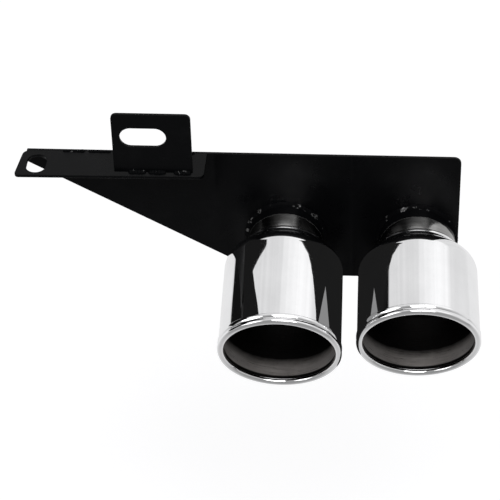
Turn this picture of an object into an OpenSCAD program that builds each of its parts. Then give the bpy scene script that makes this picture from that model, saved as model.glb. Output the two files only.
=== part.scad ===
// Twin exhaust tip on a steel hanger bracket.
// Millimetres, +Z up. The bracket plate stands upright, and the tips leave it towards -Y.
// The origin is the middle of the slot in the upright tab, on the tab's front face.

/* [Sheet steel] */
// Thickness of the mounting plate
plate_t = 2; // [1.5:0.25:4]
// Thickness of the shelf strip that lies along the plate's top
strip_t = 2; // [1.5:0.25:4]
// Thickness of the upright tab
tab_t = 2; // [1.5:0.25:4]

/* [Mounting plate] */
// Plate edge to the right of the right neck's centre
plate_right = 25.6; // [25.2:0.2:45]
// Plate's left end, to the left of the tab slot's middle
plate_left = 75.5; // [60:0.5:78]
// Height of the plate's upright left end
plate_left_h = 9; // [5:0.5:20]
// Height from the plate's top to the notch between the lobes
plate_h = 96.5; // [94:0.5:110]
// How far the two lobes reach below the notch
lobe_drop = 11; // [6:0.5:25]
// Angle at which the long lower left edge falls
slant = 31; // [27:0.5:34]
// Radius of the plate's upper right corner
plate_r = 4.5; // [2:0.5:8]
// Radius of the lobes' lower corners
lobe_r = 9; // [4:0.5:12]
// Width of the notch between the lobes
notch_w = 15; // [12:0.5:20]
// Radius of the notch's inner corners
notch_r = 3.5; // [1:0.5:5]

/* [Shelf strip and ear] */
// Depth of the strip at the ear
strip_d = 25; // [24:0.5:34]
// How much shallower the strip is at its right end
strip_taper = 1.8; // [0:0.1:3]
// Strip's right end, to the right of the tab slot's middle
strip_right = 36.3; // [33:0.5:60]
// Ear's left end, to the left of the tab slot's middle
ear_left = 77.2; // [77:0.5:95]
// How far the ear's front corner leans out past its back corner
ear_lean = 3; // [0:0.5:5]
// Radius of the ear's back corner
ear_back_r = 4.5; // [1:0.5:6]
// Radius of the ear's front corner and of the strip's right front corner
ear_front_r = 2.5; // [1:0.5:4]
// Middle of the ear's slot, to the left of the tab slot's middle
ear_slot_x = 67.6; // [65:0.5:69]
// Middle of the ear's slot, in front of the plate
ear_slot_y = 13; // [12:0.5:14]
// Width of the ear's slot
ear_slot_w = 12; // [8:0.5:13]
// Length of the ear's slot, end to end
ear_slot_l = 17.7; // [14:0.1:19]

/* [Upright tab] */
// Height of the tab above the strip
tab_h = 43.4; // [36:0.5:60]
// Tab edge to the left of its slot's middle
tab_left = 18.8; // [16:0.2:30]
// Tab edge to the right of its slot's middle
tab_right = 29.3; // [16:0.2:32]
// Distance from the plate's front to the tab's front
tab_out = 19.9; // [8:0.1:20.5]
// Radius of the tab's upper corners
tab_r = 3.5; // [1:0.5:8]
// Height of the slot's middle above the strip
slot_h = 26.2; // [12:0.2:28]
// Width of the tab's slot
slot_w = 13.8; // [8:0.2:15]
// Length of the tab's slot, end to end
slot_l = 28.2; // [18:0.2:29]

/* [Necks] */
// Neck tube's outer radius
neck_r = 24; // [21:0.25:24.5]
// Neck tube's wall
neck_wall = 1.5; // [1:0.1:2.5]
// Left neck's centre, to the right of the tab slot's middle
left_x = 84.1; // [80:0.5:88]
// Gap between the two rolled lips, if both tips pointed straight ahead
tip_gap = 6.4; // [5:0.2:30]
// Depth of the necks' centres below the plate's top
neck_drop = 63.7; // [56:0.5:64]
// Angle at which both tips point down
tip_fall = 16.5; // [10:0.5:18]
// Angle at which the right tip turns outwards
right_toe = 1.5; // [0:0.1:3]
// How far a neck tube stands out behind the plate
neck_back = 12; // [8:0.5:40]
// Distance along a neck from the plate to the shell's collar
neck_show = 9.9; // [9.8:0.1:20]
// Length of neck tube inside the shell's collar
neck_in = 6; // [4:0.5:8]

/* [Tip shells] */
// Length of the left shell from its collar to the middle of its lip
left_len = 76; // [60:0.5:120]
// Length of the right shell from its collar to the middle of its lip
right_len = 66.7; // [60:0.5:120]
// Sheet thickness of the shells
shell_wall = 1.2; // [0.8:0.1:1.6]
// Outer radius of the body next to the lip
body_front_r = 37.7; // [34:0.1:50]
// How much slimmer the body is next to the shoulder
body_flare = 0.6; // [0:0.1:1]
// How far the rolled lip stands out past the body
lip_over = 0.5; // [0.3:0.1:1]
// Width of the rolled lip, from the opening to its outside
lip_roll = 4.2; // [3.8:0.1:5]
// Length of the hem behind the rolled lip
hem_l = 4.5; // [3:0.25:8]
// Thickness of the hem
hem_t = 1.2; // [1:0.1:1.6]
// Length of the collar that grips the neck
collar_l = 1.2; // [1:0.1:8]
// Rounding between the collar and the shoulder
shoulder_in_r = 2.5; // [2:0.25:5]
// Rounding between the shoulder and the body
shoulder_out_r = 12; // [8:0.5:14]
// Angle of the shoulder to the tip's axis
shoulder_a = 49; // [42:1:60]

/* [Inner liners] */
// Wall of the liner
liner_wall = 1; // [0.8:0.1:1.2]
// How far the liner's wall lies outside the opening
liner_set = 0.3; // [0.1:0.1:0.6]
// Length of the liner's cone
liner_cone = 19; // [16:0.5:26]

/* [Welds] */
// Radius of the bead round each neck at the plate
plate_bead = 1.7; // [1.3:0.1:1.8]
// Radius of the bead behind each collar
collar_bead = 1; // [0.8:0.05:1.1]
// Radius of the stitches at the tab's foot
tab_bead = 1.8; // [1:0.1:2.5]
// Length of one stitch at the tab's foot
tab_stitch = 11; // [6:0.5:12]
// Radius of the stitches on the seam between strip and plate
strip_bead = 1.2; // [0.8:0.1:1.8]
// Length of one stitch on that seam
strip_stitch = 14; // [8:0.5:15]

/* [Hidden] */
$fn = 96;
eps = 0.01;
// Clearance between a neck tube and its hole in the plate
hole_gap = 0.3;
lip_r = body_front_r + lip_over;
body_back_r = body_front_r - body_flare;
mouth_r = lip_r - lip_roll;
// Distance between the two necks' centres.
neck_pitch = 2 * lip_r + tip_gap;
right_x = left_x + neck_pitch;
plate_x1 = right_x + plate_right;
plate_low = plate_h + lobe_drop;
notch_x = (left_x + right_x) / 2 - 0.2;
// The slanted edge starts at the foot of the plate's left end.
slant_x = -plate_left + (plate_low - plate_left_h) / tan(slant);
// The outer and inner outlines of the shell, measured along the tip's axis from the plate.
neck_in_r = neck_r - neck_wall;
collar_r = neck_r + shell_wall;
collar_end = neck_show + collar_l;
lip_minor = (lip_r - mouth_r) / 2;
lip_major = (lip_r + mouth_r) / 2;
liner_in_r = mouth_r + liner_set;
liner_out_r = liner_in_r + liner_wall;
neck_end = neck_show + neck_in;
// The stitches' middles.
tab_stitches = [-4.7, 7.5, 23];
strip_stitches = [-46, -30, 2, 22];

// Plate frame (plate's front at y = 0, its top at z = 0) to the part's frame.
module place() {
  translate([0, tab_out, -slot_h])
    children();
}

// A tip's axis along +Z of its children, from the plate's front out through the mouth.
module along_tip(x, toe) {
  translate([x, 0, -neck_drop])
    rotate([0, 0, toe])
      rotate([90 + tip_fall, 0, 0])
        children();
}

module along_left() {
  along_tip(left_x, 0)
    children();
}

module along_right() {
  along_tip(right_x, right_toe)
    children();
}

// A sheet drawn in X and Z, from y = 0 back to y = t.
module upright(t) {
  translate([0, t, 0])
    rotate([90, 0, 0])
      linear_extrude(height = t)
        children();
}

// A slot with round ends, along X.
module slot_2d(l, w) {
  square([l - w, w], center = true);
  for (s = [-1, 1])
    translate([s * (l - w) / 2, 0])
      circle(d = w);
}

// What a convex corner of radius r loses: the corner is at the origin and the sheet fills x < 0, y < 0.
module corner_cut(r) {
  translate([-r, -r])
    difference() {
      square([r + 1, r + 1]);
      circle(r = r);
    }
}

module plate_outline() {
  difference() {
    polygon([
      [-plate_left, 0], [plate_x1, 0], [plate_x1, -plate_low],
      [slant_x, -plate_low], [-plate_left, -plate_left_h]
    ]);
    translate([plate_x1, 0])
      corner_cut(plate_r);
    translate([plate_x1, -plate_low])
      mirror([0, 1])
        corner_cut(lobe_r);
    notch_outline();
  }
}

// The notch between the lobes: round inside corners above, round lobe corners below.
module notch_outline() {
  translate([notch_x, -plate_h])
    difference() {
      union() {
        translate([-notch_w / 2, -lobe_drop - 1])
          square([notch_w, lobe_drop + 1]);
        for (s = [0, 1])
          mirror([s, 0])
            translate([-notch_w / 2, -lobe_drop])
              mirror([0, 1])
                corner_cut(min(lobe_r, lobe_drop / 2));
      }
      for (s = [0, 1])
        mirror([s, 0])
          translate([notch_w / 2, 0])
            corner_cut(notch_r);
    }
}

module strip_outline() {
  difference() {
    polygon([
      [-ear_left, 0], [-ear_left - ear_lean, -strip_d],
      [strip_right, -strip_d + strip_taper], [strip_right, 0]
    ]);
    translate([-ear_left, 0])
      mirror([1, 0])
        corner_cut(ear_back_r);
    translate([strip_right, -strip_d + strip_taper])
      mirror([0, 1])
        corner_cut(ear_front_r + 1);
    translate([-ear_left - ear_lean, -strip_d])
      rotate([0, 0, 180])
        corner_cut(ear_front_r);
    translate([-ear_slot_x, -ear_slot_y])
      rotate([0, 0, 90])
        slot_2d(ear_slot_l, ear_slot_w);
  }
}

module tab_outline() {
  difference() {
    translate([-tab_left, 0])
      square([tab_left + tab_right, tab_h]);
    translate([tab_right, tab_h])
      corner_cut(tab_r);
    translate([-tab_left, tab_h])
      mirror([1, 0])
        corner_cut(tab_r);
    translate([0, slot_h])
      slot_2d(slot_l, slot_w);
  }
}

// Everything inside the shell's face, moved inwards by d, as a half section (x = radius).
// The shoulder is a straight flank between a hollow rounding at the collar and a full one at the body.
module shell_fill(len, d, over) {
  a = shoulder_a;
  r_in = collar_r - d;
  r_out = body_back_r - d;
  r1 = shoulder_out_r - d;
  r2 = shoulder_in_r + d;
  rise = r_out - r_in - (r1 + r2) * (1 - cos(a));
  s2 = collar_end;
  s1 = s2 + (r1 + r2) * sin(a) + rise / tan(a);
  top = neck_show + len;
  // Where the flank meets the two roundings.
  t1 = [r_out - r1 + r1 * cos(a), s1 - r1 * sin(a)];
  t2 = [r_in + r2 * (1 - cos(a)), s2 + r2 * sin(a)];
  difference() {
    union() {
      polygon([
        [0, neck_show - over], [r_in, neck_show - over], [r_in, s2], t2, t1, [r_out, s1],
        [body_front_r - d, top], [body_front_r - d, top + over], [0, top + over]
      ]);
      translate([r_out - r1, s1])
        circle(r = r1);
    }
    translate([r_in + r2, s2])
      circle(r = r2);
  }
}

// The roll at the mouth, with the hem that it lays back over the body.
module lip_outline(len) {
  translate([lip_major, neck_show + len])
    circle(r = lip_minor);
  translate([lip_r - hem_t, neck_show + len - hem_l + hem_t / 2])
    square([hem_t, hem_l - hem_t / 2]);
  translate([lip_r - hem_t / 2, neck_show + len - hem_l + hem_t / 2])
    circle(d = hem_t);
}

module shell_section(len) {
  difference() {
    shell_fill(len, 0, 0);
    shell_fill(len, shell_wall, 1);
  }
  lip_outline(len);
}

// The liner butts on the neck tube's end, opens in a cone and runs out to the lip.
module liner_section(len) {
  cyl0 = neck_end + liner_cone;
  difference() {
    polygon([
      [neck_in_r, neck_end], [neck_in_r + liner_wall, neck_end],
      [liner_out_r, cyl0], [liner_out_r, neck_show + len],
      [liner_in_r, neck_show + len], [liner_in_r, cyl0]
    ]);
    translate([lip_major, neck_show + len])
      circle(r = lip_minor);
    // Nothing of the liner stands in front of the lip's middle.
    translate([0, neck_show + len - lip_minor / 2])
      square([lip_major, lip_minor]);
  }
}

module mounting_plate() {
  color("#17181b")
    place()
      difference() {
        upright(plate_t)
          plate_outline();
        along_left()
          neck_hole();
        along_right()
          neck_hole();
      }
}

module neck_hole() {
  translate([0, 0, -neck_back * 2])
    cylinder(r = neck_r + hole_gap, h = neck_back * 4);
}

module hanger_strip() {
  color("#202126")
    place()
      translate([0, 0, -strip_t])
        linear_extrude(height = strip_t)
          strip_outline();
}

module hanger_tab() {
  color("#1b1c20")
    place()
      translate([0, -tab_out, 0])
        upright(tab_t)
          tab_outline();
}

module neck_tube() {
  translate([0, 0, -neck_back])
    difference() {
      cylinder(r = neck_r, h = neck_back + neck_end);
      translate([0, 0, -1])
        cylinder(r = neck_in_r, h = neck_back + neck_end + 2);
    }
}

module tip_shell(len) {
  rotate_extrude()
    shell_section(len);
}

module liner(len) {
  rotate_extrude()
    liner_section(len);
}

module left_neck_tube() {
  color("#8d8f92")
    place()
      along_left()
        neck_tube();
}

module right_neck_tube() {
  color("#8d8f92")
    place()
      along_right()
        neck_tube();
}

module left_tip_shell() {
  color("#e8eaee")
    place()
      along_left()
        tip_shell(left_len);
}

module right_tip_shell() {
  color("#e8eaee")
    place()
      along_right()
        tip_shell(right_len);
}

module left_liner() {
  color("#6c6660")
    place()
      along_left()
        liner(left_len);
}

module right_liner() {
  color("#6c6660")
    place()
      along_right()
        liner(right_len);
}

// A bead on the plate's front round a neck that leaves it at a slant.
module neck_bead(x) {
  translate([x, 0, -neck_drop])
    rotate([90, 0, 0])
      rotate_extrude()
        intersection() {
          translate([neck_r + plate_bead / 3, 0])
            circle(r = plate_bead);
          square([neck_r * 2, plate_bead + 1]);
        }
}

module neck_core() {
  translate([0, 0, -neck_back])
    cylinder(r = neck_r, h = neck_back * 3);
}

module left_plate_weld() {
  color("#141518")
    place()
      difference() {
        neck_bead(left_x);
        along_left()
          neck_core();
      }
}

module right_plate_weld() {
  color("#141518")
    place()
      difference() {
        neck_bead(right_x);
        along_right()
          neck_core();
      }
}

// A bead in the step between the neck tube and the collar's back edge.
module collar_ring() {
  rotate_extrude()
    difference() {
      translate([neck_r, neck_show])
        circle(r = collar_bead);
      translate([0, neck_show - collar_bead * 2])
        square([neck_r, collar_bead * 4]);
      translate([0, neck_show])
        square([neck_r * 2, collar_bead * 2]);
    }
}

module left_collar_weld() {
  color("#b9bcc2")
    place()
      along_left()
        collar_ring();
}

module right_collar_weld() {
  color("#b9bcc2")
    place()
      along_right()
        collar_ring();
}

// A stitch along X with round ends, kept to one quarter by the two sheets it joins.
module stitch(l, r) {
  intersection() {
    union() {
      translate([-l / 2 + r, 0, 0])
        rotate([0, 90, 0])
          cylinder(r = r, h = l - 2 * r);
      for (s = [-1, 1])
        translate([s * (l / 2 - r), 0, 0])
          sphere(r = r);
    }
    translate([-l, -r * 2, 0])
      cube([l * 2, r * 2, r * 2]);
  }
}

module tab_weld() {
  color("#141518")
    place()
      for (x = tab_stitches)
        translate([x, -tab_out, 0])
          stitch(tab_stitch, tab_bead);
}

// These lie on the seam between the strip's top and the plate's top edge.
module strip_weld() {
  color("#141518")
    place()
      for (x = strip_stitches)
        translate([x, 0, 0])
          for (s = [0, 1])
            mirror([0, s, 0])
              stitch(strip_stitch, strip_bead);
}

mounting_plate();
hanger_strip();
hanger_tab();
left_neck_tube();
right_neck_tube();
left_tip_shell();
right_tip_shell();
left_liner();
right_liner();
left_plate_weld();
right_plate_weld();
left_collar_weld();
right_collar_weld();
tab_weld();
strip_weld();
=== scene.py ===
"""Studio scene of a twin exhaust tip on its black hanger bracket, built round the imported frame."""
import math
import random

import bmesh
import bpy
from mathutils import Matrix, Vector


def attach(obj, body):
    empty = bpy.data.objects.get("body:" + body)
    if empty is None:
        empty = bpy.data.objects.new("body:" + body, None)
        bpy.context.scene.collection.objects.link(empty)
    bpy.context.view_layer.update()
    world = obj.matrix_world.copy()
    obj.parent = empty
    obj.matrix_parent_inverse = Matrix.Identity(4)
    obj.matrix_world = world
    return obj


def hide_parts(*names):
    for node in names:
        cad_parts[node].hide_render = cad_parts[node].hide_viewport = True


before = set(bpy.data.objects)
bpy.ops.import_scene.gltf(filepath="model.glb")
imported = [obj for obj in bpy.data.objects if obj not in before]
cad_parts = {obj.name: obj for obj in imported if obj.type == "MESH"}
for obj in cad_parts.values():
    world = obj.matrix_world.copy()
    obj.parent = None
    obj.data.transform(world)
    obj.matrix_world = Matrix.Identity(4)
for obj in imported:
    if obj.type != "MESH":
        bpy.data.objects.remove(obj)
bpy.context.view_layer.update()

MM = 0.001

# Camera: right, down and forward of the camera fitted to the photo, in the part's frame.
CAM_RIGHT = Vector((0.9976821, 0.0638766, -0.0234560))
CAM_DOWN = Vector((0.0231536, -0.6427986, -0.7656853))
CAM_FORWARD = Vector((-0.0639869, 0.7633674, -0.6427876))
CAM_AT = Vector((151.69, -1060.63, 807.01)) * MM
CAM_FOCAL_PX = 2223.614
PHOTO_PX = 500
SENSOR_MM = 36

camera_data = bpy.data.cameras.new("camera")
camera_data.sensor_width = SENSOR_MM
camera_data.lens = SENSOR_MM * CAM_FOCAL_PX / PHOTO_PX
camera = bpy.data.objects.new("camera", camera_data)
camera.matrix_world = Matrix.Translation(CAM_AT) @ Matrix(
    (CAM_RIGHT, -CAM_DOWN, -CAM_FORWARD)).transposed().to_4x4()
bpy.context.scene.collection.objects.link(camera)
bpy.context.scene.camera = camera
bpy.context.scene.view_settings.view_transform = "Standard"

# Sizes in mm, as in the CAD source.
SHEET = 2.0
PLATE_Y = 19.9
STRIP_Z = -26.2
PLATE_RIGHT = 25.6
PLATE_LEFT, PLATE_LEFT_H, PLATE_H, LOBE_DROP, SLANT = 75.5, 9.0, 96.5, 11.0, 31.0
PLATE_R, LOBE_R, NOTCH_W, NOTCH_R, NOTCH_SHIFT = 4.5, 9.0, 15.0, 3.5, 0.2
STRIP_D, STRIP_TAPER, STRIP_RIGHT = 25.0, 1.8, 36.3
EAR_LEFT, EAR_LEAN, EAR_BACK_R, EAR_FRONT_R = 77.2, 3.0, 4.5, 2.5
EAR_SLOT_X, EAR_SLOT_Y, EAR_SLOT_W, EAR_SLOT_L = 67.6, 13.0, 12.0, 17.7
TAB_H, TAB_LEFT, TAB_RIGHT, TAB_R = 43.4, 18.8, 29.3, 3.5
SLOT_W, SLOT_L = 13.8, 28.2
NECK_R, NECK_WALL, NECK_BACK, NECK_SHOW, NECK_IN = 24.0, 1.5, 12.0, 9.9, 6.0
LEFT_X, NECK_PITCH, NECK_DROP, TIP_FALL, RIGHT_TOE = 84.1, 82.8, 63.7, 16.5, 1.5
TIP_LEN = {"left": 76.0, "right": 66.7}
SHELL_WALL, BODY_BACK_R, BODY_FRONT_R = 1.2, 37.1, 37.7
LIP_R, MOUTH_R, HEM_L, HEM_T, COLLAR_L = 38.2, 34.0, 4.5, 1.2, 1.2
SHOULDER_IN_R, SHOULDER_OUT_R, SHOULDER_A = 2.5, 12.0, math.radians(49)
LINER_WALL, LINER_SET, LINER_CONE = 1.0, 0.3, 19.0
PLATE_BEAD, COLLAR_BEAD, TAB_BEAD, STRIP_BEAD = 1.7, 1.0, 1.8, 1.2
TAB_STITCH, STRIP_STITCH = 11.0, 14.0
TAB_STITCHES = (-4.7, 7.5, 23.0)
STRIP_STITCHES = (-46.0, -30.0, 2.0, 22.0)

# Small sizes in mm that only the scene has.
SOFT_EDGE = 0.28            # rounding of the sheet's cut edges
TOUCH = 0.02                # how far touching pieces run into each other or keep apart
NECK_GAP = 0.35             # between a neck and the edge of its hole
SLANT_R, THIN_R, SHARP_R, TAB_FOOT_R = 2.0, 0.6, 0.5, 0.4
TUBE_CHAMFER, COLLAR_EDGE_R, LINER_BEND_R = 0.3, 0.3, 14
LINER_LIP_STEP, LINER_CONE_STEP = 0.3, 0.2
SHELL_STEP, LINER_STEP, TUBE_STEP = 3.0, 2.5, 1.5
SHELL_SEGMENTS, TURNED_SEGMENTS = 320, 256
HEM_TURN, ROLL_TURN = (-84, 0), (0, 262)    # arcs in degrees
# The fold between hem and roll: (depth under the lip's outside, distance past the hem's edge).
LIP_FOLD = ((0.0, 1.2), (0.25, 2.0), (0.78, 2.8), (0.76, 3.05), (0.05, 4.35))

# Ripples of a weld bead, as shares of its size, and their pitches in mm.
PUDDLE_SPREAD, RIPPLE_RISE, RIPPLE_DROP = 0.10, 0.16, 0.08
PUDDLES = 64
RUN_OUT, THIN_END = 1.3, 0.02
FOOT = 0.9
WELD_ANGLE = 50             # degrees, above which a weld's edge shades sharp
COLLAR_BEAD_PROUD, SEAM_SINK = 0.05, 0.05
ROOT_PITCH, COLLAR_PITCH, TAB_PITCH, STRIP_PITCH = 2.3, 1.6, 1.9, 2.2
ROOT_SWING, COLLAR_SWING = 0.45, 0.4

# Colours, and places in metres where one finish gives way to another or where the liner's painted shade
# begins.
PAINT_DARK, PAINT_RUBBED = (0.0016, 0.0017, 0.0021), (0.0030, 0.0031, 0.0036)
OVERSPRAY, WORN_CREST = (0.002, 0.0021, 0.0025), (0.20, 0.20, 0.20)
PAINT_IOR, PAINT_SPECULAR, WELD_SPECULAR = 1.3, 0.2, 0.07
POLISH_CLEAN, POLISH_SMUDGED = (0.93, 0.93, 0.94), (0.87, 0.87, 0.88)
NECK_PALE, NECK_GREY = (0.36, 0.358, 0.355), (0.27, 0.268, 0.265)
OVERSPRAY_FROM, OVERSPRAY_TO = (0.0128, 0.0131), (0.0265, 0.0285)
# The liner's pale side colour is a painted highlight.
LINER_PALE, LINER_BROWN, LINER_PAINTED_HIGHLIGHT = (0.68, 0.63, 0.60), (0.29, 0.268, 0.255), (1.0, 0.96, 0.94)
# Painted shade for the liner: a near-black colour deep inside it and in the crease at the lip, and the
# depths in metres where that painted shade begins.
LINER_SCRATCH, LINER_PAINTED_SHADE = (0.74, 0.70, 0.68), (0.012, 0.011, 0.011)
LINER_PAINTED_SHADE_FADE, LINER_PAINTED_SEAM_SHADE = (0.0090, 0.0152), (0.0028, 0.0035)
# Squared sideways distances in metres over which the liner's painted highlight comes in.
LINER_PAINTED_HIGHLIGHT_SQUARED = (0.00028, 0.00085)
BEAD_PALE, BEAD_GREY = (0.62, 0.60, 0.57), (0.42, 0.40, 0.38)

RIGHT_X = LEFT_X + NECK_PITCH
PLATE_X1 = RIGHT_X + PLATE_RIGHT
PLATE_LOW = PLATE_H + LOBE_DROP
NOTCH_X = (LEFT_X + RIGHT_X) / 2 - NOTCH_SHIFT
SLANT_X = -PLATE_LEFT + (PLATE_LOW - PLATE_LEFT_H) / math.tan(math.radians(SLANT))
COLLAR_R = NECK_R + SHELL_WALL
COLLAR_END = NECK_SHOW + COLLAR_L
LIP_MINOR, LIP_MAJOR = (LIP_R - MOUTH_R) / 2, (LIP_R + MOUTH_R) / 2
LINER_IN_R = MOUTH_R + LINER_SET
NECK_END = NECK_SHOW + NECK_IN


def tip_frame(x, toe):
    """A tip's axis as +Z, from the plate's front out through the mouth; +Y of it is up."""
    return (Matrix.Translation(Vector((x, PLATE_Y, STRIP_Z - NECK_DROP)))
            @ Matrix.Rotation(math.radians(toe), 4, "Z")
            @ Matrix.Rotation(math.radians(90 + TIP_FALL), 4, "X"))


TIPS = {"left": tip_frame(LEFT_X, 0), "right": tip_frame(RIGHT_X, RIGHT_TOE)}


class Nodes:
    """A short way to write a node tree."""

    def __init__(self, name):
        self.mat = bpy.data.materials.new(name)
        self.mat.use_nodes = True
        self.tree = self.mat.node_tree
        self.bsdf = self.tree.nodes["Principled BSDF"]

    def new(self, kind, **values):
        node = self.tree.nodes.new("ShaderNode" + kind)
        for key, value in values.items():
            setattr(node, key, value)
        return node

    def link(self, a, b):
        self.tree.links.new(a, b)
        return b

    def place(self, kind="row", scale=(1, 1, 1)):
        """Coordinates in metres: 'row' is the part's frame, any other name is that attribute."""
        if kind == "row":
            out = self.new("TexCoord").outputs["Object"]
        else:
            out = self.new("Attribute", attribute_name=kind).outputs["Vector"]
        mapping = self.new("Mapping")
        mapping.inputs["Scale"].default_value = scale
        self.link(out, mapping.inputs["Vector"])
        return mapping.outputs["Vector"]

    def noise(self, where, scale, detail=2.0, rough=0.5, distortion=0.0):
        node = self.new("TexNoise")
        node.inputs["Scale"].default_value = scale
        node.inputs["Detail"].default_value = detail
        node.inputs["Roughness"].default_value = rough
        node.inputs["Distortion"].default_value = distortion
        self.link(where, node.inputs["Vector"])
        return node.outputs["Fac"]

    def ramp(self, value, low, high, to_low=0.0, to_high=1.0):
        node = self.new("MapRange")
        for key, number in (("From Min", low), ("From Max", high),
                            ("To Min", to_low), ("To Max", to_high)):
            node.inputs[key].default_value = number
        self.link(value, node.inputs["Value"])
        return node.outputs["Result"]

    def math(self, op, a, b):
        node = self.new("Math", operation=op)
        for socket, value in zip(node.inputs, (a, b)):
            if isinstance(value, (int, float)):
                socket.default_value = value
            else:
                self.link(value, socket)
        return node.outputs[0]

    def mix(self, factor, a, b):
        node = self.new("Mix", data_type="RGBA")
        self.link(factor, node.inputs["Factor"])
        for key, value in (("A", a), ("B", b)):
            socket = [s for s in node.inputs if s.name == key and s.type == "RGBA"][0]
            if isinstance(value, tuple):
                socket.default_value = (*value, 1)
            else:
                self.link(value, socket)
        return [s for s in node.outputs if s.type == "RGBA"][0]

    def bump(self, height, distance, strength=1.0, below=None):
        node = self.new("Bump")
        node.inputs["Strength"].default_value = strength
        node.inputs["Distance"].default_value = distance
        self.link(height, node.inputs["Height"])
        if below is not None:
            self.link(below, node.inputs["Normal"])
        return node.outputs["Normal"]

    def put(self, **sockets):
        """Numbers go on the shader's own sockets, and anything else is linked to them."""
        for key, value in sockets.items():
            socket = self.bsdf.inputs[key.replace("_", " ")]
            if isinstance(value, (int, float)):
                socket.default_value = value
            elif isinstance(value, tuple):
                socket.default_value = (*value, 1)
            else:
                self.link(value, socket)
        return self.mat


def black_paint(name, gloss=0.30):
    """Stoved semi-gloss paint: orange peel, a slow waviness, dust nibs and rubbed spots."""
    n = Nodes(name)
    where = n.place()
    peel = n.noise(where, 520, 2, 0.5)
    wave = n.noise(where, 45, 2, 0.5)
    nibs = n.ramp(n.noise(where, 1900, 1, 0.4), 0.68, 0.80)
    rub = n.ramp(n.noise(where, 60, 5, 0.62), 0.52, 0.75)
    colour = n.mix(rub, PAINT_DARK, PAINT_RUBBED)
    rough = n.ramp(n.noise(where, 90, 4, 0.6), 0.3, 0.7, gloss - 0.05, gloss + 0.07)
    low = n.bump(wave, 0.00035, 0.35)
    mid = n.bump(peel, 0.00005, 0.5, low)
    return n.put(Base_Color=colour, Roughness=rough, Metallic=0.0, IOR=PAINT_IOR,
                 Specular_IOR_Level=PAINT_SPECULAR, Normal=n.bump(nibs, 0.00008, 0.5, mid))


def weld_paint():
    """The same paint over a weld: duller, and worn to bright metal on a few crests."""
    n = Nodes("painted_weld")
    where = n.place()
    crest = n.ramp(n.noise(where, 230, 3, 0.6), 0.605, 0.67)
    grain = n.noise(where, 1400, 3, 0.6)
    return n.put(Base_Color=n.mix(crest, PAINT_DARK, WORN_CREST),
                 Roughness=n.ramp(crest, 0.0, 1.0, 0.5, 0.16), Metallic=crest, IOR=PAINT_IOR,
                 Specular_IOR_Level=WELD_SPECULAR, Normal=n.bump(grain, 0.00005, 0.4))


def polished_shell():
    """Mirror-polished stainless: soft pressing waves, hairline polishing marks along the tip."""
    n = Nodes("polished_shell")
    along = n.place("tip_place", (1, 1, 0.16))
    hair = n.place("tip_place", (1, 1, 0.012))
    waves = n.noise(along, 95, 2, 0.45)
    marks = n.noise(hair, 1500, 3, 0.6)
    smudge = n.noise(n.place("tip_place"), 42, 4, 0.6)
    colour = n.mix(n.ramp(smudge, 0.35, 0.7), POLISH_CLEAN, POLISH_SMUDGED)
    rough = n.math("ADD", n.ramp(smudge, 0.35, 0.75, 0.030, 0.075), n.ramp(marks, 0.5, 0.8, 0.0, 0.03))
    low = n.bump(waves, 0.0003, 0.22)
    return n.put(Base_Color=colour, Roughness=rough, Metallic=1.0,
                 Normal=n.bump(marks, 0.000006, 0.3, low))


def neck_steel():
    """Turned stainless tube, with the bracket's paint blown over its root."""
    n = Nodes("neck_steel")
    turned = n.place("tip_place", (0.02, 0.02, 1))
    lines = n.noise(turned, 3800, 2, 0.6)
    edge = n.noise(n.place("tip_place"), 260, 4, 0.6)
    row = n.new("SeparateXYZ")
    n.link(n.place(), row.inputs[0])
    y = n.math("ADD", row.outputs["Y"], n.math("MULTIPLY", n.math("SUBTRACT", edge, 0.5), 0.0016))
    paint = n.math("MULTIPLY", n.ramp(y, *OVERSPRAY_FROM), n.ramp(y, *OVERSPRAY_TO, 1.0, 0.0))
    steel = n.mix(n.ramp(n.noise(turned, 900, 3, 0.6), 0.3, 0.7), NECK_PALE, NECK_GREY)
    coarse = n.math("ADD", lines, n.math("MULTIPLY", paint, 0.3))
    return n.put(Base_Color=n.mix(paint, steel, OVERSPRAY),
                 Roughness=n.ramp(coarse, 0.2, 1.0, 0.07, 0.24),
                 Metallic=n.ramp(paint, 0.4, 0.6, 1.0, 0.0), IOR=PAINT_IOR,
                 Specular_IOR_Level=PAINT_SPECULAR, Normal=n.bump(lines, 0.000005, 0.3))


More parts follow.
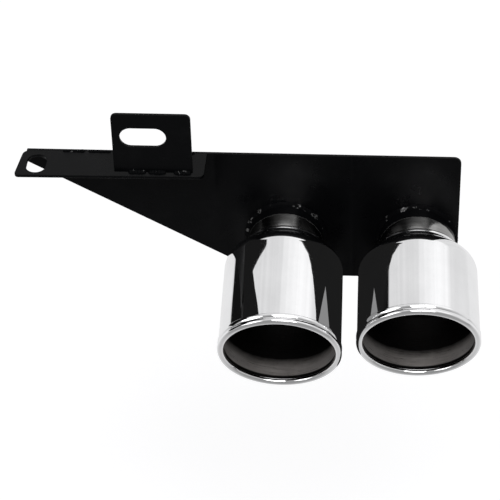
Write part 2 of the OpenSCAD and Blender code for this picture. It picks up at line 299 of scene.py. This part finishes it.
def liner_steel():
    """Brushed stainless, brownish, with a painted highlight that makes it paler at the sides, and
    painted shade that makes it dark deep inside and where it meets the lip.
    """
    n = Nodes("liner_steel")
    ring = n.place("tip_place", (0.03, 0.03, 1))
    lines = n.noise(ring, 2600, 3, 0.65)
    cloud = n.noise(n.place("tip_place"), 70, 4, 0.6)
    along = n.new("SeparateXYZ")
    n.link(n.new("Attribute", attribute_name="lip_depth").outputs["Vector"], along.inputs[0])
    # Painted shade: past a depth that wanders a little, the colour goes near-black deep inside the
    # liner, where its own walls shade it.
    depth = n.math("ADD", along.outputs["X"], n.math("MULTIPLY", n.math("SUBTRACT", cloud, 0.5), 0.002))
    deep = n.ramp(depth, *LINER_PAINTED_SHADE_FADE)
    near = n.mix(n.ramp(cloud, 0.3, 0.7), LINER_PALE, LINER_BROWN)
    # Painted highlight: the colour is paler towards the liner's sides, standing in for the bright
    # things that they mirror.
    across = n.new("SeparateXYZ")
    n.link(n.place("tip_place"), across.inputs[0])
    side = n.ramp(n.math("MULTIPLY", across.outputs["X"], across.outputs["X"]), *LINER_PAINTED_HIGHLIGHT_SQUARED)
    near = n.mix(n.math("MULTIPLY", side, n.ramp(lines, 0.2, 0.6, 0.5, 1.0)), near, LINER_PAINTED_HIGHLIGHT)
    brushed = n.mix(n.ramp(lines, 0.35, 0.7), near, LINER_SCRATCH)
    # Painted shade: a near-black band in the crease where the liner meets the lip.
    painted_seam_shade = n.ramp(along.outputs["X"], *LINER_PAINTED_SEAM_SHADE, 1.0, 0.0)
    return n.put(Base_Color=n.mix(n.math("MAXIMUM", deep, painted_seam_shade), brushed, LINER_PAINTED_SHADE),
                 Roughness=n.ramp(lines, 0.25, 0.8, 0.24, 0.44), Metallic=0.82,
                 Normal=n.bump(lines, 0.00002, 0.6))


def bright_weld():
    """A bare weld bead: pale on its ripples and greyer between them."""
    n = Nodes("bright_weld")
    tint = n.noise(n.place("tip_place"), 300, 3, 0.6)
    colour = n.mix(n.ramp(tint, 0.3, 0.7), BEAD_PALE, BEAD_GREY)
    return n.put(Base_Color=colour, Roughness=n.ramp(tint, 0.3, 0.7, 0.14, 0.30), Metallic=1.0,
                 Normal=n.bump(n.noise(n.place("tip_place"), 900, 2, 0.5), 0.00002, 0.4))


PAINT = black_paint("black_paint")
WELD_PAINT = weld_paint()
POLISHED = polished_shell()
NECK = neck_steel()
LINER = liner_steel()
BRIGHT = bright_weld()


def finish_piece(obj, material, slot, *nodes):
    """Gives a piece its finish, and puts it in the place of the CAD nodes that it stands for."""
    obj.data.materials.clear()
    obj.data.materials.append(material)
    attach(obj, "root")
    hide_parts(*nodes)
    return obj


def object_of(name, bm, angle=38.0):
    """A smooth-shaded object of a bmesh, with its sharp edges kept sharp."""
    bmesh.ops.recalc_face_normals(bm, faces=bm.faces)
    for face in bm.faces:
        face.smooth = True
    for edge in bm.edges:
        edge.smooth = len(edge.link_faces) == 2 and edge.calc_face_angle(0) < math.radians(angle)
    mesh = bpy.data.meshes.new(name)
    bm.to_mesh(mesh)
    bm.free()
    obj = bpy.data.objects.new(name, mesh)
    bpy.context.scene.collection.objects.link(obj)
    return obj


def arc(cx, cy, r, a0, a1, steps):
    """Points of an arc, angles in degrees, both ends included."""
    return [(cx + r * math.cos(math.radians(a0 + (a1 - a0) * i / steps)),
             cy + r * math.sin(math.radians(a0 + (a1 - a0) * i / steps))) for i in range(steps + 1)]


def divided(points, longest):
    """The same line with no stretch longer than that, so that it shades evenly."""
    out = [points[0]]
    for a, b in zip(points, points[1:]):
        parts = max(1, math.ceil(math.dist(a, b) / longest))
        out += [(a[0] + (b[0] - a[0]) * k / parts, a[1] + (b[1] - a[1]) * k / parts)
                for k in range(1, parts + 1)]
    return out


def lathe(name, profile, side, segments, attributes=None):
    """Turns a closed profile of (radius, distance along the tip) about a tip's axis."""
    bm = bmesh.new()
    rings = []
    for i in range(segments):
        a = 2 * math.pi * i / segments
        rings.append([bm.verts.new(Vector((r * math.cos(a), r * math.sin(a), s)) * MM)
                      for r, s in profile])
    count = len(profile)
    for i in range(segments):
        near, far = rings[i], rings[(i + 1) % segments]
        for k in range(count):
            bm.faces.new((near[k], far[k], far[(k + 1) % count], near[(k + 1) % count]))
    obj = object_of(name, bm)
    keep_place(obj, side, attributes)
    return obj


def keep_place(obj, side, attributes=None):
    """Stores each point's place in the tip's own frame, then moves the mesh into the part's frame."""
    flat = [c for v in obj.data.vertices for c in v.co]
    obj.data.attributes.new("tip_place", "FLOAT_VECTOR", "POINT").data.foreach_set("vector", flat)
    for key, rule in (attributes or {}).items():
        values = [c for v in obj.data.vertices for c in (rule(v.co), 0.0, 0.0)]
        obj.data.attributes.new(key, "FLOAT_VECTOR", "POINT").data.foreach_set("vector", values)
    turn = TIPS[side].copy()
    turn.translation = turn.translation * MM
    obj.data.transform(turn)


def corner_points(points, steps=10):
    """A closed outline from corners (x, y, radius), with each corner rounded."""
    out = []
    count = len(points)
    for i, (x, y, r) in enumerate(points):
        here = Vector((x, y))
        back = (Vector(points[i - 1][:2]) - here).normalized()
        ahead = (Vector(points[(i + 1) % count][:2]) - here).normalized()
        if r <= 0:
            out.append((x, y))
            continue
        half = back.angle(ahead) / 2
        reach = r / math.tan(half)
        centre = here + (back + ahead).normalized() * (r / math.sin(half))
        start, end = here + back * reach - centre, here + ahead * reach - centre
        turn = math.atan2(start.x * end.y - start.y * end.x, start.dot(end))
        a0 = math.atan2(start.y, start.x)
        out += [(centre.x + r * math.cos(a), centre.y + r * math.sin(a))
                for a in (a0 + turn * k / steps for k in range(steps + 1))]
    return out


def slot_points(cx, cy, long, wide, upright=False, steps=24):
    """A slot with round ends about (cx, cy), lying along x or upright."""
    half = (long - wide) / 2
    pts = arc(half, 0, wide / 2, -90, 90, steps) + arc(-half, 0, wide / 2, 90, 270, steps)
    return [(cx - y, cy + x) if upright else (cx + x, cy + y) for x, y in pts]


def sheet(name, outline, holes, to_row):
    """A sheet cut to an outline, with its edges rounded.

    to_row takes (x, y, depth) to the part's frame."""
    curve = bpy.data.curves.new(name, "CURVE")
    curve.dimensions = "2D"
    curve.fill_mode = "BOTH"
    curve.extrude = (SHEET / 2 - SOFT_EDGE) * MM
    curve.bevel_depth = SOFT_EDGE * MM
    curve.bevel_resolution = 3
    curve.offset = -SOFT_EDGE * MM
    for pts in (outline, *holes):
        spline = curve.splines.new("POLY")
        spline.points.add(len(pts) - 1)
        for point, (x, y) in zip(spline.points, pts):
            point.co = (x * MM, y * MM, 0, 1)
        spline.use_cyclic_u = True
    maker = bpy.data.objects.new(name + "_curve", curve)
    bpy.context.scene.collection.objects.link(maker)
    bpy.context.view_layer.update()
    mesh = bpy.data.meshes.new_from_object(maker.evaluated_get(bpy.context.evaluated_depsgraph_get()))
    bpy.data.objects.remove(maker)
    bm = bmesh.new()
    bm.from_mesh(mesh)
    bpy.data.meshes.remove(mesh)
    bmesh.ops.remove_doubles(bm, verts=bm.verts, dist=0.000002)
    level = {f for f in bm.faces if abs(f.normal.z) > 0.9999}
    for v in bm.verts:
        v.co = to_row(v.co.x / MM, v.co.y / MM, v.co.z / MM + SHEET / 2) * MM
    bmesh.ops.recalc_face_normals(bm, faces=bm.faces)
    for face in bm.faces:
        face.smooth = True
    for e in bm.edges:
        e.smooth = len(e.link_faces) == 2 and len([f for f in e.link_faces if f in level]) != 1
    mesh = bpy.data.meshes.new(name)
    bm.to_mesh(mesh)
    bm.free()
    obj = bpy.data.objects.new(name, mesh)
    bpy.context.scene.collection.objects.link(obj)
    return obj


def plate_outline():
    """The bracket plate from its top edge down, with a slanted cut on the left and a notch below."""
    low_r = min(LOBE_R, LOBE_DROP / 2)
    half = NOTCH_W / 2
    return corner_points([
        (-PLATE_LEFT, 0, THIN_R), (-PLATE_LEFT, -PLATE_LEFT_H, THIN_R), (SLANT_X, -PLATE_LOW, SLANT_R),
        (NOTCH_X - half, -PLATE_LOW, low_r), (NOTCH_X - half, -PLATE_H, NOTCH_R),
        (NOTCH_X + half, -PLATE_H, NOTCH_R), (NOTCH_X + half, -PLATE_LOW, low_r),
        (PLATE_X1, -PLATE_LOW, LOBE_R), (PLATE_X1, 0, PLATE_R)])


def neck_hole(x, toe):
    """Where a neck goes through the plate's middle: an ellipse, because the tip points down."""
    fall = math.radians(TIP_FALL)
    drop = math.tan(fall) * SHEET / 2
    r = NECK_R + NECK_GAP
    side = -math.tan(math.radians(toe)) * SHEET / 2
    return [(x + side + r * math.cos(a), -NECK_DROP + drop + r / math.cos(fall) * math.sin(a))
            for a in (2 * math.pi * k / 128 for k in range(128))]


# The bracket.
finish_piece(
    sheet("plate_painted", plate_outline(), [neck_hole(LEFT_X, 0), neck_hole(RIGHT_X, RIGHT_TOE)],
          lambda x, y, d: Vector((x, PLATE_Y + d, STRIP_Z + y))),
    PAINT, "black_paint", "mounting_plate")

finish_piece(
    sheet("strip_painted", corner_points([
        (-EAR_LEFT, 0, EAR_BACK_R), (-EAR_LEFT - EAR_LEAN, -STRIP_D, EAR_FRONT_R),
        (STRIP_RIGHT, -STRIP_D + STRIP_TAPER, EAR_FRONT_R + 1), (STRIP_RIGHT, 0, SHARP_R)]),
        [slot_points(-EAR_SLOT_X, -EAR_SLOT_Y, EAR_SLOT_L, EAR_SLOT_W, True)],
        lambda x, y, d: Vector((x, PLATE_Y + y, STRIP_Z - SHEET + d))),
    PAINT, "black_paint", "hanger_strip")

tab = finish_piece(
    sheet("tab_painted", corner_points([
        (-TAB_LEFT, 0, TAB_FOOT_R), (TAB_RIGHT, 0, TAB_FOOT_R),
        (TAB_RIGHT, TAB_H, TAB_R), (-TAB_LEFT, TAB_H, TAB_R)]),
        [slot_points(0, -STRIP_Z, SLOT_L, SLOT_W)],
        lambda x, y, d: Vector((x, d, STRIP_Z + y))),
    PAINT, "black_paint", "hanger_tab")
tab.visible_glossy = False  # the photo's tips don't mirror it


def shell_line(length, d):
    """The shell's face from the collar's back edge to the lip's middle, moved inwards by d."""
    a = SHOULDER_A
    r_in, r_out = COLLAR_R - d, BODY_BACK_R - d
    r1, r2 = SHOULDER_OUT_R - d, SHOULDER_IN_R + d
    rise = r_out - r_in - (r1 + r2) * (1 - math.cos(a))
    s1 = COLLAR_END + (r1 + r2) * math.sin(a) + rise / math.tan(a)
    deg = math.degrees(a)
    hollow = arc(r_in + r2, COLLAR_END, r2, 180, 180 - deg, 12)
    full = arc(r_out - r1, s1, r1, -deg, 0, 20)
    return [(r_in, NECK_SHOW), *hollow, *full, (BODY_FRONT_R - d, NECK_SHOW + length)]


def shell_profile(length):
    """The closed profile of a shell: outside, hem, fold, rolled lip, and back along the inside."""
    top = NECK_SHOW + length
    hem_s = top - HEM_L
    outer = shell_line(length, 0)
    outer[-1] = (BODY_FRONT_R - TOUCH, hem_s)
    outer[0:1] = arc(COLLAR_R - COLLAR_EDGE_R, NECK_SHOW + COLLAR_EDGE_R, COLLAR_EDGE_R, -90, 0, 5)
    nose = arc(LIP_R - HEM_T / 2, hem_s + HEM_T / 2, HEM_T / 2, *HEM_TURN, 8)
    fold = [(LIP_R - deep, hem_s + past) for deep, past in LIP_FOLD]
    roll = arc(LIP_MAJOR, top, LIP_MINOR, *ROLL_TURN, 48)
    inner = list(reversed(shell_line(length, SHELL_WALL)))
    inner[0] = (BODY_FRONT_R - SHELL_WALL, top - LIP_MINOR)
    inner[-1] = (NECK_R + TOUCH, NECK_SHOW)
    return divided(outer + nose + fold + roll + inner, SHELL_STEP)


def liner_profile(length):
    """The closed profile of a liner: a cone from inside the neck, then a straight run to the lip."""
    top = NECK_SHOW + length
    cone = NECK_END + LINER_CONE
    end = top - math.sqrt(LIP_MINOR ** 2 - (LIP_MAJOR - LINER_IN_R) ** 2) - TOUCH
    inner_r, outer_r = NECK_R - NECK_WALL, LINER_IN_R + LINER_WALL
    return divided(corner_points([
        (inner_r, NECK_END, 0), (LINER_IN_R, cone, LINER_BEND_R), (LINER_IN_R, end, 0),
        (outer_r, end - LINER_LIP_STEP, 0), (outer_r, cone - LINER_CONE_STEP, LINER_BEND_R),
        (inner_r + LINER_WALL, NECK_END, 0)], 12), LINER_STEP)


def tube_profile():
    """The closed profile of a neck, chamfered at its rear end."""
    r, back, c = NECK_R - TOUCH, -NECK_BACK, TUBE_CHAMFER
    inner = r - NECK_WALL
    return divided([(inner, back + c), (inner + c, back), (r - c, back), (r, back + c),
                    (r, NECK_END), (inner, NECK_END)], TUBE_STEP)


for side, length in TIP_LEN.items():
    top = (NECK_SHOW + length) * MM
    finish_piece(lathe(side + "_shell_polished", shell_profile(length), side, SHELL_SEGMENTS),
                 POLISHED, "polished_shell", side + "_tip_shell")
    finish_piece(lathe(side + "_liner_brushed", liner_profile(length), side, TURNED_SEGMENTS,
                       {"lip_depth": lambda co, top=top: top - co.z}),
                 LINER, "liner_steel", side + "_liner")
    finish_piece(lathe(side + "_neck", tube_profile(), side, TURNED_SEGMENTS),
                 NECK, "neck_steel", side + "_neck_tube")


def bead(name, path, size, pitch, closed, seed, sides=9, bulge=0.25, lift=0.25, swing=1.0):
    """A rippled bead of weld along a path of (corner, towards one sheet, towards the other).

    Each frozen puddle is a small step over the one before it, and both ends run out."""
    draw = random.Random(seed)
    bm = bmesh.new()
    rings = []
    run = 0.0
    wobble = [draw.uniform(-1, 1) for _ in range(PUDDLES)]
    length = sum((path[k][0] - path[k - 1][0]).length for k in range(1, len(path)))
    for k, (corner, u, v) in enumerate(path):
        if k:
            run += (corner - path[k - 1][0]).length
        ripple = (run / pitch) % 1.0
        puddle = int(run / pitch) % PUDDLES
        swell = 1.0 + swing * (PUDDLE_SPREAD * wobble[puddle]
                               + RIPPLE_RISE * (1 - (2 * ripple - 1) ** 2) - RIPPLE_DROP)
        if not closed:
            ends = min(run, length - run) / (size * RUN_OUT)
            swell *= math.sqrt(max(THIN_END, min(1.0, ends) * (2 - min(1.0, ends))))
        ring = []
        for j in range(sides + 1):
            a = math.pi / 2 * j / sides
            reach = size * swell * (1 - bulge * math.sin(2 * a) * 0.5)
            ring.append(corner + u * (reach * math.cos(a)) + v * (reach * math.sin(a)))
        foot = size * swell * FOOT
        ring += [corner - u * lift + v * foot, corner - u * lift - v * lift,
                 corner + u * foot - v * lift]
        rings.append([bm.verts.new(p * MM) for p in ring])
    count = len(rings[0])
    last = len(rings) if closed else len(rings) - 1
    for i in range(last):
        near, far = rings[i], rings[(i + 1) % len(rings)]
        for k in range(count):
            bm.faces.new((near[k], far[k], far[(k + 1) % count], near[(k + 1) % count]))
    if not closed:
        bm.faces.new(rings[0])
        bm.faces.new(list(reversed(rings[-1])))
    return object_of(name, bm, WELD_ANGLE)


def joined(name, objects):
    """One piece of several meshes."""
    bm = bmesh.new()
    for o in objects:
        bm.from_mesh(o.data)
        bpy.data.objects.remove(o)
    return object_of(name, bm, WELD_ANGLE)


def stitch(x, long, y, z, u, v, steps=70):
    """A bead's path along x: its corner line, and the ways along the two sheets."""
    x0, x1 = x - long / 2, x + long / 2
    return [(Vector((x0 + (x1 - x0) * k / steps, y, z)), Vector(u), Vector(v))
            for k in range(steps + 1)]


def neck_root(place, count=720):
    """The line where a neck leaves the plate's front, with the ways along the plate and the neck."""
    turn = place.to_3x3()
    axis = turn @ Vector((0, 0, 1))
    out = []
    for k in range(count):
        a = 2 * math.pi * k / count
        radial = turn @ Vector((math.cos(a), math.sin(a), 0))
        start = place.translation + radial * (NECK_R - TOUCH)
        corner = start + axis * ((PLATE_Y - start.y) / axis.y)
        out.append((corner, Vector((radial.x, 0, radial.z)).normalized(), axis))
    return out


def collar_path(count=900):
    """In a tip's own frame: the corner between the neck and the collar's back edge."""
    out = []
    for k in range(count):
        a = 2 * math.pi * k / count
        radial = Vector((math.cos(a), math.sin(a), 0))
        out.append((radial * (NECK_R - TOUCH) + Vector((0, 0, NECK_SHOW)), radial, Vector((0, 0, -1))))
    return out


for side, seed in (("left", 11), ("right", 12)):
    finish_piece(bead(side + "_root_bead", neck_root(TIPS[side]), PLATE_BEAD, ROOT_PITCH, True, seed,
                      swing=ROOT_SWING), WELD_PAINT, "painted_weld", side + "_plate_weld")

for side, seed in (("left", 21), ("right", 22)):
    ring = bead(side + "_collar_bead", collar_path(), COLLAR_BEAD + COLLAR_BEAD_PROUD, COLLAR_PITCH,
                True, seed, lift=0.0, swing=COLLAR_SWING)
    keep_place(ring, side)
    finish_piece(ring, BRIGHT, "bright_weld", side + "_collar_weld")

tab_beads = [
    bead(f"b{k}", stitch(x, TAB_STITCH, 0, STRIP_Z, (0, -1, 0), (0, 0, 1)),
         TAB_BEAD, TAB_PITCH, False, 30 + k)
    for k, x in enumerate(TAB_STITCHES)]
finish_piece(joined("tab_beads", tab_beads), WELD_PAINT, "painted_weld", "tab_weld")

strip_beads = [
    bead(f"b{k}{way}", stitch(x, STRIP_STITCH, PLATE_Y, STRIP_Z - SEAM_SINK, (0, way, 0), (0, 0, 1)),
         STRIP_BEAD, STRIP_PITCH, False, 50 + k)
    for k, x in enumerate(STRIP_STITCHES) for way in (-1, 1)]
finish_piece(joined("strip_beads", strip_beads), WELD_PAINT, "painted_weld", "strip_weld")

# The studio, in metres and in strengths where 1 is white.
FLOOR_AT, FLOOR_R = (0.08, 0, -0.47), 3.0
FLOOR_COLOUR = (0.62, 0.62, 0.63, 1)
# Glow that the camera sees on the floor: by distance, because the lamps reach less far out.
GLOW_REACH, GLOW = (0.25, 2.0), (0.575, 0.745)
# The floor as shine sees it, darker towards the front.
MIRRORED_Y, MIRRORED = (-0.45, 0.15), (0.33, 0.84)
PLAIN_LIGHT = 0.55
FOLDS_SCALE, FOLDS_DETAIL = 9, 3
CEILING_X, CEILING = (-0.15, 0.40), (0.77, 1.05)
FOLDS_IN, FOLDS = (0.3, 0.7), (-0.05, 0.05)
WALL_X, WALL_Z, WALL_TONE = (0.2, 0.35), (0.50, 0.62), 0.76
FRONT_Y, FRONT = (-0.60, -0.05), (0.38, 1.0)
FLAG_X, FLAG_Y, FLAG_TONE = (-0.56, -0.48), (-0.3, -0.2), 0.008
FLAG_LOW_Z, FLAG_HIGH_Z = (-0.085, -0.065), (0.55, 0.585)
FALLING = (1.0, 0.0)

# Cards, in mm: (x, tone, corners as (y, z)).
BETWEEN_TIPS = (LEFT_X + RIGHT_X) / 2
CARDS = {
    "left_card": (40, 0.010, (
        (16, 2), (7, -1), (2.5, -9), (-8, -30), (-17, -45), (-21, -50), (-33, -45), (-47, -33),
        (-62, -22), (-62, -74), (16, -60))),
    "black_card": (BETWEEN_TIPS, 0.012, (
        (16, 4), (8, -10), (0.5, -24), (-8, -41), (-16, -50), (-25, -57.5), (-37, -65), (-48, -71),
        (-64, -78.5), (-30, -79), (-64, -97), (-64, -150), (16, -150))),
    "grey_card": (BETWEEN_TIPS, 0.27, ((-64, -78.5), (-30, -79), (-64, -97))),
}

# Lamps: (place, width, height, watts), all turned to the middle of the part.
MIDDLE = Vector((0.09, -0.03, -0.09))
LAMPS = {
    "key": ((0.35, -0.95, 1.45), 1.3, 0.9, 16),
    "left_fill": ((-1.3, -0.9, 0.9), 0.9, 1.1, 6),
}


class Studio(Nodes):
    """The same short way to write the floor's and the world's trees."""

    def __init__(self, tree, output):
        self.tree = tree
        tree.nodes.clear()
        self.out = self.new(output)
        path = self.new("LightPath")
        self.shine = self.math("MAXIMUM", path.outputs["Is Glossy Ray"],
                               path.outputs["Is Transmission Ray"])
        self.seen = self.math("MAXIMUM", path.outputs["Is Camera Ray"], self.shine)

    def either(self, factor, plain, seen):
        """The first shader where the factor is 0, the second where it is 1."""
        mix = self.new("MixShader")
        for socket, value in zip(mix.inputs, (factor, plain, seen)):
            self.link(value, socket)
        return mix.outputs[0]

    def finish(self, plain, camera_sees, shine_sees):
        """Plain for light, and one look each for the camera and for shine."""
        shown = self.either(self.shine, camera_sees, shine_sees)
        self.link(self.either(self.seen, plain, shown), self.out.inputs["Surface"])


def floor_material():
    """Pale paint. The camera sees it glow up to white, with the object's shadow kept."""
    mat = bpy.data.materials.new("floor")
    mat.use_nodes = True
    n = Studio(mat.node_tree, "OutputMaterial")
    pale = n.new("BsdfDiffuse")
    pale.inputs["Color"].default_value = FLOOR_COLOUR
    glow = n.new("Emission")
    reach = n.new("VectorMath", operation="LENGTH")
    n.link(n.place(), reach.inputs[0])
    n.link(n.ramp(reach.outputs["Value"], *GLOW_REACH, *GLOW), glow.inputs["Strength"])
    both = n.new("AddShader")
    n.link(pale.outputs[0], both.inputs[0])
    n.link(glow.outputs[0], both.inputs[1])
    mirrored = n.new("Emission")
    spot = n.new("SeparateXYZ")
    n.link(n.place(), spot.inputs[0])
    n.link(n.ramp(spot.outputs["Y"], *MIRRORED_Y, *MIRRORED), mirrored.inputs["Strength"])
    n.finish(pale.outputs[0], both.outputs[0], mirrored.outputs[0])
    return mat


def build_world():
    """Plain for light and white for the camera. Shine sees a photographer's tent: a ceiling that is
    brighter towards +X, a light grey wall low on that side, a greyer front, and a black flag that
    stands behind on the left."""
    world = bpy.data.worlds.new("studio")
    bpy.context.scene.world = world
    world.use_nodes = True
    n = Studio(world.node_tree, "OutputWorld")
    plain, white, tent = (n.new("Background") for _ in range(3))
    plain.inputs["Strength"].default_value = PLAIN_LIGHT
    for part in (white, tent):
        part.inputs["Color"].default_value = (1, 1, 1, 1)
    way = n.new("SeparateXYZ")
    n.link(n.new("TexCoord").outputs["Generated"], way.inputs[0])
    x, y, z = (way.outputs[key] for key in "XYZ")
    folds = n.new("TexNoise", noise_dimensions="1D")
    folds.inputs["Scale"].default_value = FOLDS_SCALE
    folds.inputs["Detail"].default_value = FOLDS_DETAIL
    n.link(x, folds.inputs["W"])
    ceiling = n.math("ADD", n.ramp(x, *CEILING_X, *CEILING),
                     n.ramp(folds.outputs["Fac"], *FOLDS_IN, *FOLDS))
    wall = n.math("MULTIPLY", n.ramp(x, *WALL_X), n.ramp(z, *WALL_Z, *FALLING))
    flag = n.math("MULTIPLY", n.ramp(x, *FLAG_X, *FALLING), n.ramp(y, *FLAG_Y))
    flag_height = n.math("MULTIPLY", n.ramp(z, *FLAG_LOW_Z), n.ramp(z, *FLAG_HIGH_Z, *FALLING))
    flag = n.math("MULTIPLY", flag, flag_height)
    tone = n.math("MULTIPLY", ceiling, n.ramp(wall, 0.0, 1.0, 1.0, WALL_TONE))
    tone = n.math("MULTIPLY", tone, n.ramp(y, *FRONT_Y, *FRONT))
    tone = n.math("MULTIPLY", tone, n.ramp(flag, 0.0, 1.0, 1.0, FLAG_TONE))
    n.link(tone, tent.inputs["Strength"])
    n.finish(plain.outputs[0], white.outputs[0], tent.outputs[0])


def card(name, x, tone, corners):
    """A card beside a tip, square to X, that only shine sees: the steel's dark parts mirror it."""
    bm = bmesh.new()
    bm.faces.new([bm.verts.new(Vector((x, y, z)) * MM) for y, z in corners])
    obj = object_of(name, bm)
    mat = bpy.data.materials.new(name)
    mat.use_nodes = True
    tree = mat.node_tree
    tree.nodes.clear()
    glow = tree.nodes.new("ShaderNodeEmission")
    glow.inputs["Strength"].default_value = tone
    tree.links.new(glow.outputs[0], tree.nodes.new("ShaderNodeOutputMaterial").inputs["Surface"])
    obj.data.materials.append(mat)
    obj.visible_camera = obj.visible_diffuse = obj.visible_shadow = False


def lamp(name, at, width, height, watts):
    """A soft rectangular lamp that the camera doesn't see."""
    data = bpy.data.lights.new(name, "AREA")
    data.shape = "RECTANGLE"
    data.size, data.size_y = width, height
    data.energy = watts
    obj = bpy.data.objects.new(name, data)
    obj.location = at
    obj.rotation_mode = "QUATERNION"
    obj.rotation_quaternion = (Vector(at) - MIDDLE).to_track_quat("Z", "Y")
    obj.visible_camera = False
    bpy.context.scene.collection.objects.link(obj)


floor_bm = bmesh.new()
bmesh.ops.create_circle(floor_bm, cap_ends=True, radius=FLOOR_R, segments=128)
floor = object_of("floor", floor_bm)
floor.location = FLOOR_AT
floor.data.materials.append(floor_material())
build_world()
for name, (x, tone, corners) in CARDS.items():
    card(name, x, tone, corners)
for name, (at, width, height, watts) in LAMPS.items():
    lamp(name, at, width, height, watts)
